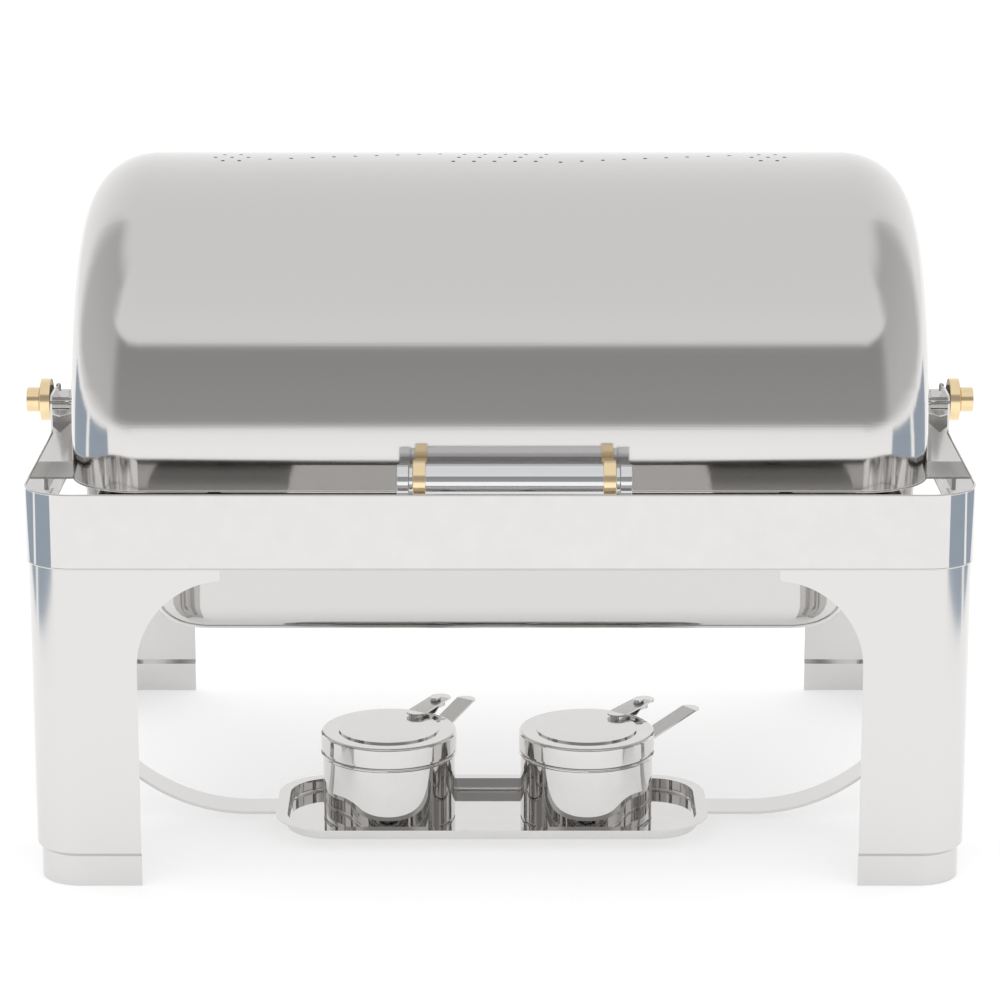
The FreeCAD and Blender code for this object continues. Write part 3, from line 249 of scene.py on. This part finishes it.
def satin_sheet(name, grain, colour=1.0, rough=1.0):
    """Satin steel: fine rolling lines along one axis, slow cloudy variation and faint
    polishing smears. grain is the stretch of the lines on each axis."""
    look = bpy.context.scene.chafer_finish

    def paint(shader):
        lines = shader.noise(grain, detail=4.0, rough=0.6)
        cloud = shader.noise((5.0, 5.0, 5.0), detail=2.0)
        smear = shader.noise((9.0, 3.0, 14.0), detail=3.0, rough=0.7)
        tone = (lines - 0.5) * 0.10 + (cloud - 0.5) * 0.10 + 0.5
        steel = tuple(look.steel)
        base = shader.mix(tone, shade(steel, 0.93 * colour), shade(steel, 1.06 * colour))
        gloss = look.satin * rough
        roughness = gloss + (lines - 0.5) * (0.30 * gloss) + (smear - 0.45) * (0.35 * gloss)
        return {
            "Base Color": base,
            "Metallic": 1.0,
            "Roughness": roughness.above(0.02),
            "Normal": shader.bump(lines, 0.05, 0.0002),
        }
    return finish(name, paint)


def polished_sheet(name, colour=1.0, rough=1.0):
    """Polished steel: almost a mirror, with a faint orange-peel wave and wipe marks."""
    look = bpy.context.scene.chafer_finish

    def paint(shader):
        wave = shader.noise((60.0, 60.0, 60.0), detail=2.0)
        wipe = shader.noise((12.0, 40.0, 12.0), detail=3.0, rough=0.7)
        steel = tuple(look.steel)
        base = shader.mix(wave, shade(steel, 0.96 * colour), shade(steel, 1.04 * colour))
        gloss = look.polish * rough
        return {
            "Base Color": base,
            "Metallic": 1.0,
            "Roughness": (gloss + (wipe - 0.45) * (0.8 * gloss)).above(0.012),
            "Normal": shader.bump(wave, 0.04, 0.0004),
        }
    return finish(name, paint)


def chrome_plate(name):
    look = bpy.context.scene.chafer_finish

    def paint(shader):
        haze = shader.noise((80.0, 200.0, 200.0), detail=3.0)
        chrome = tuple(look.chrome)
        return {
            "Base Color": shader.mix(haze, shade(chrome, 0.97), shade(chrome, 1.03)),
            "Metallic": 1.0,
            "Roughness": 0.03 + haze * 0.03,
            "Normal": shader.bump(haze, 0.02, 0.0001),
        }
    return finish(name, paint)


def turned_brass(name):
    """Brass with fine turning lines across X and a slow cloudy tone, slightly darker where the
    cloud is low.
    """
    look = bpy.context.scene.chafer_finish

    def paint(shader):
        lines = shader.noise((2600.0, 12.0, 12.0), detail=2.0)
        cloud = shader.noise((90.0, 90.0, 90.0), detail=3.0)
        brass = tuple(look.brass)
        base = shader.mix(cloud, shade(brass, 0.88), shade(brass, 1.08))
        return {
            "Base Color": base,
            "Metallic": 1.0,
            "Roughness": 0.13 + lines * 0.10 + cloud * 0.05,
            "Normal": shader.bump(lines, 0.10, 0.00008),
        }
    return finish(name, paint)


def moulded(name, colour, rough):
    """Rubber or fibre with a fine matt grain."""
    def paint(shader):
        grain = shader.noise((900.0, 900.0, 900.0), detail=3.0)
        return {
            "Base Color": shader.mix(grain, shade(colour, 0.8), shade(colour, 1.2)),
            "Metallic": 0.0,
            "Roughness": rough + (grain - 0.5) * 0.2,
            "Normal": shader.bump(grain, 0.2, 0.0001),
        }
    return finish(name, paint)


def wear(names, material):
    """Gives CAD nodes one material."""
    for name in names:
        NODES[name].data.materials.clear()
        NODES[name].data.materials.append(material)


def both(*stems):
    return [f"{stem}_{word}" for stem in stems for word, side in SIDES]


def middle(node, axis):
    """The middle of a node's box on one axis."""
    low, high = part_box(node)
    return (low[axis] + high[axis]) / 2


# ------------------------------------------------------------------ surfaces

def soften(points, radius, steps=5, loop=False):
    """Rounds the corners of a flat outline. Each corner becomes steps points on an arc of the
    radius that touches both of its sides, with one more point a little before and after it,
    so that the flats beside it stay flat in smooth shading. An open outline keeps its ends."""
    guard = 1.35
    points = np.array(points, float)
    corners = points if loop else points[1:-1]
    before = np.roll(points, 1, 0) if loop else points[:-2]
    after = np.roll(points, -1, 0) if loop else points[2:]
    into, out = corners - before, after - corners
    into /= np.linalg.norm(into, axis=1, keepdims=True)
    out /= np.linalg.norm(out, axis=1, keepdims=True)
    half = np.arccos(np.clip((into * out).sum(1), -1, 1)) / 2
    reach = (radius * np.tan(half))[:, None]
    inward = out - into
    inward /= np.linalg.norm(inward, axis=1, keepdims=True)
    centres = corners + inward * (radius / np.cos(half))[:, None]
    share = np.linspace(-1, 1, steps)[None, :, None]
    swing = half[:, None, None] * share
    along = (into + out) / np.linalg.norm(into + out, axis=1, keepdims=True)
    arcs = centres[:, None] + radius * (
        np.sin(swing) * along[:, None] - np.cos(swing) * inward[:, None])
    lead = (corners - into * reach * guard)[:, None]
    trail = (corners + out * reach * guard)[:, None]
    run = np.concatenate([lead, arcs, trail], axis=1).reshape(-1, 2)
    return run if loop else np.vstack([points[:1], run, points[-1:]])


def grid_faces(rows, columns, wrap_rows):
    """Quads of a grid whose columns close on themselves, and its rows too if wrap_rows."""
    i = np.arange(rows if wrap_rows else rows - 1)[:, None]
    j = np.arange(columns)[None, :]
    here, there = i * columns, (i + 1) % rows * columns
    ahead = (j + 1) % columns
    return np.stack([here + j, here + ahead, there + ahead, there + j], -1).reshape(-1, 4)


def turned(profile, segments=96, loop=False):
    """A full turn about X: a point (s, r) of the profile goes to (s, r cos t, r sin t). An
    open profile starts and ends on the axis, and its ends close in a fan."""
    ring = np.array(profile if loop else profile[1:-1], float)
    t = np.arange(segments) * (2 * np.pi / segments)
    s, r = ring[:, :1], ring[:, 1:]
    points = np.stack([s + 0 * t, r * np.cos(t), r * np.sin(t)], -1).reshape(-1, 3)
    faces = grid_faces(len(ring), segments, loop).tolist()
    if not loop:
        first, last = len(points), len(points) + 1
        points = np.vstack([points, [profile[0][0], 0, 0], [profile[-1][0], 0, 0]])
        j = np.arange(segments)
        ahead = (j + 1) % segments
        end = (len(ring) - 1) * segments
        faces += np.stack([np.full(segments, first), ahead, j], -1).tolist()
        faces += np.stack([np.full(segments, last), end + j, end + ahead], -1).tolist()
    return points, faces


def turned_outward(outline, box, side, axis):
    """An outline turned about a line parallel to X. It starts at the end of the box that is
    nearer to the middle of the chafer and runs outward."""
    low, high = box
    points, faces = turned(outline)
    if side < 0:
        points = points * (-1, -1, 1)
    start = low[0] if side > 0 else high[0]
    return points + axis + (start, 0, 0), faces


def swept(path, radius, sides=10, loop=False):
    """A round bead along a path: the point at angle t of the ring on a path point is the
    point + radius (cos t u + sin t v), with u and v square to the path there. The ends of
    an open bead close in one face each."""
    path = np.array(path, float)
    if loop:
        way = np.roll(path, -1, 0) - np.roll(path, 1, 0)
    else:
        way = np.gradient(path, axis=0)
    way /= np.linalg.norm(way, axis=1, keepdims=True)
    v = np.cross(way, (0.0, 0.0, 1.0))
    v /= np.linalg.norm(v, axis=1, keepdims=True)
    u = np.cross(v, way)
    t = (np.arange(sides) * (2 * np.pi / sides))[None, :, None]
    points = path[:, None] + radius * (np.cos(t) * u[:, None] + np.sin(t) * v[:, None])
    faces = grid_faces(len(path), sides, loop).tolist()
    if not loop:
        faces.append(list(range(sides))[::-1])
        faces.append([(len(path) - 1) * sides + j for j in range(sides)])
    return points.reshape(-1, 3), faces


def corner_path(half_x, half_y, radius, steps=14):
    """The rounded rectangle |x| = half_x, |y| = half_y, anticlockwise from the rear right:
    each corner's arc is its centre + radius (cos t, sin t) over a quarter turn."""
    t = np.linspace(0, np.pi / 2, steps)
    runs = []
    for number, (sx, sy) in enumerate(((1, 1), (-1, 1), (-1, -1), (1, -1))):
        turn = t + number * np.pi / 2
        centre = np.array([sx * (half_x - radius), sy * (half_y - radius)])
        runs.append(centre + radius * np.stack([np.cos(turn), np.sin(turn)], -1))
    return np.vstack(runs)


def at_height(plan, height):
    """A flat outline as points in space."""
    return np.column_stack([plan, np.full(len(plan), height)])


def joined(*shells):
    """Several shells as one list of points and faces."""
    points, faces, start = [], [], 0
    for shell_points, shell_faces in shells:
        points.append(shell_points)
        faces += [[start + index for index in face] for face in shell_faces]
        start += len(shell_points)
    return np.vstack(points), faces


def add_piece(name, shell, material, body, replaces=()):
    """Makes a shell into an object that rides on a body of the frame."""
    points, faces = shell
    mesh = bpy.data.meshes.new(name)
    mesh.from_pydata(points.tolist(), [], faces)
    mesh.materials.append(material)
    mesh.polygons.foreach_set("use_smooth", [True] * len(mesh.polygons))
    mesh.validate()
    piece = bpy.data.objects.new(name, mesh)
    bpy.context.scene.collection.objects.link(piece)
    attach(piece, body)
    if replaces:
        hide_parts(*replaces)


# ------------------------------------------------------------------ operators

class CHAFER_OT_cover(bpy.types.Operator):
    """Finish the roll cover"""
    bl_idname = "chafer.cover"
    bl_label = "Roll Cover"

    def execute(self, context):
        wear(["roll_cover"], satin_sheet("cover_satin", grain_along("X", 700.0)))
        wear(both("end_plate", "lock_nut"), polished_sheet("inner_plate_steel", rough=3.0))
        hem = 0.0010
        add_piece("cover_hem", swept(self.edge(), hem, loop=True),
                  satin_sheet("hem_satin", (60.0, 60.0, 900.0)), "cover")
        return {"FINISHED"}

    def edge(self):
        """The cover's lower edge, just above its cut. At x past the barrel's straight part
        the barrel's radius is core + sqrt(fillet^2 - past^2), and y = sqrt(radius^2 -
        drop^2), where drop is the depth of the edge under the pivots."""
        low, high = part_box("roll_cover")
        pivot = middle("pivot_shaft_left", 2)
        sheet, fillet, rise, steps = 0.0009, 0.051, 0.0010, 24
        half, radius = high[0] - sheet / 2, high[2] - pivot - sheet / 2
        drop = pivot - low[2] - rise
        bend = fillet - sheet / 2
        core = radius - bend
        t = np.linspace(0, np.pi / 2, steps)
        x = half - bend + bend * np.sin(t)
        y = np.sqrt((core + bend * np.cos(t)) ** 2 - drop ** 2)
        quarter = np.column_stack([x, -y])
        right = np.vstack([quarter, (quarter * (1, -1))[::-1]])
        return at_height(np.vstack([right, -right]), low[2] + rise)


class CHAFER_OT_frame(bpy.types.Operator):
    """Finish the band, ledge and legs"""
    bl_idname = "chafer.frame"
    bl_label = "Band And Legs"

    def execute(self, context):
        polish = polished_sheet("band_polish")
        wear(["frame_band"], polish)
        wear(["pan_ledge"], satin_sheet("ledge_satin", grain_along("X", 300.0), rough=4.0))
        self.beads(polish)
        legs = [f"leg_{end}_{word}" for end in ("front", "rear") for word, side in SIDES]
        wear(legs, satin_sheet("leg_satin", grain_along("Z", 500.0), rough=1.35))
        look = context.scene.chafer_finish
        wear(["cover_bumpers"], moulded("bumper_rubber", tuple(look.rubber), 0.7))
        return {"FINISHED"}

    def beads(self, polish):
        """Rolled edges on the band: a closed one below, and one round each end of the rim
        between the ears."""
        low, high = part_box("frame_band")
        sheet, corner, bead = 0.0015, 0.035, 0.00095
        half_x, half_y = high[0] - sheet / 2, high[1] - sheet / 2
        plan = corner_path(half_x, half_y, corner - sheet / 2)
        add_piece("band_foot_bead", swept(at_height(plan, low[2] + bead / 2), bead, loop=True),
                  polish, "frame")
        ear, wall, hub = 0.048, 0.053, half_y * 0.2
        rim = low[2] + wall
        for word, sign in (("front", -1), ("rear", 1)):
            run = plan[plan[:, 1] * sign > 0]
            order = np.argsort(np.arctan2(run[:, 1] * sign - hub, run[:, 0]))
            run = np.vstack([[half_x, sign * ear], run[order], [-half_x, sign * ear]])
            path = at_height(run, rim - bead / 2)
            add_piece(f"rim_bead_{word}", swept(path, bead), polish, "frame")


class CHAFER_OT_pivots(bpy.types.Operator):
    """Finish the pivots and knobs"""
    bl_idname = "chafer.pivots"
    bl_label = "Pivots And Knobs"

    def execute(self, context):
        look = context.scene.chafer_finish
        wear(both("pivot_boss", "friction_screw", "stop_tab", "pivot_shaft", "stop_pin"),
             polished_sheet("pivot_steel", rough=2.2))
        wear(both("pivot_washer"), moulded("washer_fibre", tuple(look.fibre), 0.6))
        brass = turned_brass("knob_brass")
        for word, side in SIDES:
            self.knob(word, side, brass)
        return {"FINISHED"}

    def knob(self, word, side, brass):
        """A flange with a rounded rim, a groove, and a barrel with a dished end."""
        node = f"knob_{word}"
        low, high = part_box(node)
        length, flange = high[0] - low[0], (high[2] - low[2]) / 2
        step, barrel, groove, dish, edge = 0.0075, 0.0092, 0.0003, 0.0012, 0.00035
        neck, land, floor = step + dish, barrel * 0.62, barrel * 0.5
        outline = soften([
            (0, 0), (0, flange), (step, flange), (step, barrel - groove),
            (neck, barrel - groove), (neck, barrel), (length, barrel), (length, land),
            (length - dish, floor), (length - dish, 0)], edge)
        axis = np.array([0, 0, middle(node, 2)])
        add_piece(f"brass_{node}", turned_outward(outline, (low, high), side, axis), brass,
                  "cover", [node])


class CHAFER_OT_handle(bpy.types.Operator):
    """Finish the handle"""
    bl_idname = "chafer.handle"
    bl_label = "Handle"

    def execute(self, context):
        chrome, brass = chrome_plate("handle_chrome"), turned_brass("bracket_brass")
        wear(["handle_tube"], chrome)
        wear(["handle_screws"], polished_sheet("handle_screw_steel", rough=2.0))
        axis = np.array([0, middle("handle_tube", 1), middle("handle_tube", 2)])
        for word, side in SIDES:
            self.cap(word, side, axis, chrome)
            self.bracket(word, axis, brass)
        return {"FINISHED"}

    def cap(self, word, side, axis, chrome):
        """A plug, a neck and a cap with a softly rounded end, turned in one piece."""
        node = f"handle_cap_{word}"
        low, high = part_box(node)
        radius, length = (high[2] - low[2]) / 2, high[0] - low[0]
        plug, neck, depth, cap, edge = 0.0102, 0.0094, 0.009, 0.0082, 0.0006
        outline = soften([
            (0, 0), (0, plug), (depth, plug), (depth, neck), (length - cap, neck),
            (length - cap, radius), (length, radius), (length, 0)], edge)
        add_piece(f"chrome_cap_{word}", turned_outward(outline, (low, high), side, axis),
                  chrome, "cover", [node])

    def bracket(self, word, axis, brass):
        """A ring with rounded edges, and an arm with rounded edges that runs to the cover."""
        node = f"handle_bracket_{word}"
        low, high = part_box(node)
        left, right, outer = low[0], high[0], (high[2] - low[2]) / 2
        inner, arm, lap, edge = 0.0115, 0.005, 0.0004, 0.0005
        ring = soften([(left, inner), (left, outer), (right, outer), (right, inner)], edge,
                      loop=True)
        points, faces = turned(ring, loop=True)
        ring = points + axis, faces
        section = soften([(left, -arm), (right, -arm), (right, arm), (left, arm)], edge,
                         loop=True)
        count = len(section)
        ends = np.array([axis[1] + inner + lap, high[1]])
        points = np.stack([
            np.broadcast_to(section[:, 0], (2, count)),
            np.broadcast_to(ends[:, None], (2, count)),
            np.broadcast_to(section[:, 1] + axis[2], (2, count))], -1).reshape(-1, 3)
        faces = grid_faces(2, count, False)[:, ::-1].tolist()
        faces.append(list(range(count)))
        faces.append(list(range(2 * count - 1, count - 1, -1)))
        add_piece(f"brass_bracket_{word}", joined(ring, (points, faces)), brass, "cover",
                  [node])


class CHAFER_OT_pans(bpy.types.Operator):
    """Finish the two pans"""
    bl_idname = "chafer.pans"
    bl_label = "Pans"

    def execute(self, context):
        wear(["water_pan"], satin_sheet("water_pan_satin", grain_along("X", 400.0),
                                        colour=0.90, rough=0.9))
        wear(["food_pan"], polished_sheet("food_pan_polish", rough=1.6))
        return {"FINISHED"}


class CHAFER_OT_tray(bpy.types.Operator):
    """Finish the strap and the fuel tray"""
    bl_idname = "chafer.tray"
    bl_label = "Strap And Tray"

    def execute(self, context):
        wear(["tray_strap"], satin_sheet("strap_satin", grain_along("X", 900.0), rough=1.4))
        wear(["strap_studs", "strap_nuts"], polished_sheet("fastener_steel", rough=2.5))
        wear(["fuel_tray"], polished_sheet("tray_polish"))
        return {"FINISHED"}


class CHAFER_OT_holders(bpy.types.Operator):
    """Finish the fuel holders"""
    bl_idname = "chafer.holders"
    bl_label = "Fuel Holders"

    def execute(self, context):
        wear(both("pot"), polished_sheet("pot_polish", rough=0.8))
        wear(both("lid"), polished_sheet("lid_polish", rough=1.4))
        wear(both("damper_disc"), satin_sheet("damper_satin", grain_along("X", 500.0, 30.0)))
        wear(both("damper_handle", "hinge_strip", "pot_handle"),
             satin_sheet("strip_satin", grain_along("X", 400.0, 60.0), rough=1.4))
        wear(both("damper_rivet", "pot_rivets"), polished_sheet("rivet_steel", rough=2.0))
        return {"FINISHED"}


# ------------------------------------------------------------------ studio

def add_plane(name, corners, material):
    mesh = bpy.data.meshes.new(name)
    mesh.from_pydata(corners, [], [tuple(range(len(corners)))])
    mesh.materials.append(material)
    plane = bpy.data.objects.new(name, mesh)
    bpy.context.scene.collection.objects.link(plane)
    plane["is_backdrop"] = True
    return plane


def room_light(studio):
    """A pale room with a dimmer belt above eye level in front and at the sides. Reflections
    see the belts, and all other rays see an even light."""
    belt_dark, side_dark, even = 0.64, 0.38, 1.14
    world = bpy.data.worlds.new("studio_room")
    bpy.context.scene.world = world
    world.use_nodes = True
    shader = Shader(world.node_tree)
    way = shader.out(shader.add("ShaderNodeTexCoord"), "Generated")
    split = shader.add("ShaderNodeSeparateXYZ", None, way)
    x, y, z = (shader.out(split, axis) for axis in "XYZ")
    level = (1.0 - z * z).above(0.0004).root()
    front = (0.0 - y) / level
    side = x.absolute() / level
    belt = z.ramp(-0.04, 0.05) * (1.0 - z.ramp(0.585, 0.625))
    front_belt = belt * front.ramp(0.35, 0.85)
    side_belt = z.ramp(-0.05, 0.1) * (1.0 - z.ramp(0.80, 0.97)) * side.ramp(0.72, 0.93)
    glow = z.ramp(0.0, 1.0, 1.0, 0.82)
    light = glow * (1.0 - front_belt * belt_dark) * (1.0 - side_belt * side_dark)
    mirror = shader.out(shader.add("ShaderNodeLightPath"), "Is Glossy Ray")
    strength = mirror * light + (1.0 - mirror) * even
    background = shader.add("ShaderNodeBackground", None, (1.0, 1.0, 1.0, 1.0),
                            strength * studio.sky)
    end = shader.add("ShaderNodeOutputWorld")
    world.node_tree.links.new(background.outputs[0], end.inputs[0])


def key_light(power):
    """A square soft light overhead that shows in no reflection."""
    light = bpy.data.lights.new("key_light", "AREA")
    light.energy, light.shape, light.size = power, "SQUARE", 2.4
    lamp = bpy.data.objects.new("key_light", light)
    lamp.location = (0.0, -0.4, 2.6)
    lamp.visible_glossy = lamp.visible_camera = False
    bpy.context.scene.collection.objects.link(lamp)


def glossy_card(name, corners, colour):
    """A card that shows in reflections only."""
    def paint(shader):
        return {"Base Color": (*colour, 1.0), "Roughness": 0.9}
    card = add_plane(name, corners, finish(name, paint))
    card.visible_camera = card.visible_diffuse = card.visible_shadow = False
    card.visible_transmission = card.visible_volume_scatter = False
    return card


class CHAFER_OT_stage(bpy.types.Operator):
    """Set up the floor, the light and the camera"""
    bl_idname = "chafer.stage"
    bl_label = "Studio"

    def execute(self, context):
        scene = context.scene
        studio = scene.chafer_studio
        room_light(studio)
        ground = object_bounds()[0][2]
        self.floor(studio, ground)
        self.cards(ground)
        key_light(studio.key)
        camera = bpy.data.objects.new("camera", bpy.data.cameras.new("camera"))
        camera.data.lens = studio.lens
        camera.location = (0.0, -studio.distance, studio.height)
        camera.rotation_euler = (math.pi / 2 - studio.pitch, 0.0, 0.0)
        scene.collection.objects.link(camera)
        scene.camera = camera
        scene.view_settings.view_transform = "Standard"
        scene.cycles.glossy_bounces = 8
        return {"FINISHED"}

    def floor(self, studio, ground):
        """A wide pale floor that shines a little, as a lit table does."""
        half = 20.0

        def paint(shader):
            cloud = shader.noise((1.5, 1.5, 1.5))
            tone = tuple(studio.floor_colour)
            return {"Base Color": shader.mix(cloud, shade(tone, 0.99), shade(tone, 1.01)),
                    "Emission Color": (1.0, 1.0, 1.0, 1.0),
                    "Emission Strength": studio.floor_glow,
                    "Roughness": 0.85}
        add_plane("floor", [(-half, -half, ground), (half, -half, ground),
                            (half, half, ground), (-half, half, ground)],
                  finish("floor_pale", paint))

    def cards(self, ground):
        """Four blue-grey cards on the floor beside the chafer, seen in reflections only."""
        near, far, begin, end, lift = 1.0, 5.0, 0.05, 0.72, 0.002
        plan = [(0.95 * near, begin * near), (far, begin * far), (far, end * far),
                (near, end * near)]
        for number, (sx, sy) in enumerate(((1, 1), (-1, 1), (-1, -1), (1, -1))):
            corners = plan if sx * sy > 0 else plan[::-1]
            card = [(sx * a, sy * b, ground + lift) for a, b in corners]
            glossy_card(f"dark_card_{number}", card, (0.30, 0.36, 0.43))


class CHAFER_PT_panel(bpy.types.Panel):
    """Lists the operators and settings"""
    bl_label = "Roll Top Chafer"
    bl_idname = "CHAFER_PT_panel"
    bl_space_type = "VIEW_3D"
    bl_region_type = "UI"
    bl_category = "Chafer"

    def draw(self, context):
        for group in (context.scene.chafer_finish, context.scene.chafer_studio):
            for name in group.__annotations__:
                self.layout.prop(group, name)
        for operator in OPERATORS:
            self.layout.operator(operator.bl_idname)


GROUPS = (ChaferFinish, ChaferStudio)
OPERATORS = (
    CHAFER_OT_cover, CHAFER_OT_frame, CHAFER_OT_pivots, CHAFER_OT_handle, CHAFER_OT_pans,
    CHAFER_OT_tray, CHAFER_OT_holders, CHAFER_OT_stage,
)


def register():
    for cls in (*GROUPS, *OPERATORS, CHAFER_PT_panel):
        bpy.utils.register_class(cls)
    bpy.types.Scene.chafer_finish = bpy.props.PointerProperty(type=ChaferFinish)
    bpy.types.Scene.chafer_studio = bpy.props.PointerProperty(type=ChaferStudio)


def unregister():
    del bpy.types.Scene.chafer_studio
    del bpy.types.Scene.chafer_finish
    for cls in reversed((*GROUPS, *OPERATORS, CHAFER_PT_panel)):
        bpy.utils.unregister_class(cls)


def main():
    register()
    for operator in OPERATORS:
        group, name = operator.bl_idname.split(".")
        getattr(getattr(bpy.ops, group), name)()


if __name__ == "__main__":
    main()
